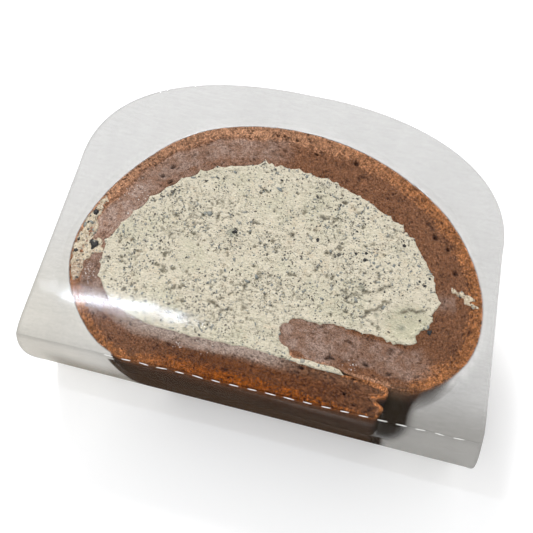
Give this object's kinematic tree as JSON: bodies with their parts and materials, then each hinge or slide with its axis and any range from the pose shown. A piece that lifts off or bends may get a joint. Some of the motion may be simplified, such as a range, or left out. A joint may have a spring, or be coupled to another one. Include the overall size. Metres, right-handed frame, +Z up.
{
  "type": "swiss roll cake slice",
  "caption": "Slice of chocolate swiss roll with speckled cream filling, lying on its cut face in a folded clear film.",
  "frame": {"origin": "on the resting surface, under the middle of the bounding box", "axes": "+Z up along the roll's own axis; +X along the roll's flat base; +Y from the base to the top of the roll"},
  "size_m": [0.1302, 0.092, 0.0386],
  "materials": {
    "sponge": "soft baked cocoa sponge, fine open crumb, matt",
    "cream": "whipped cream full of fine dark specks, torn and satin",
    "film": "thin clear film, glossy"
  },
  "bodies": {
    "root": {"sponge": "sponge", "cream": "cream", "film": "film"}
  },
  "joints": []
}
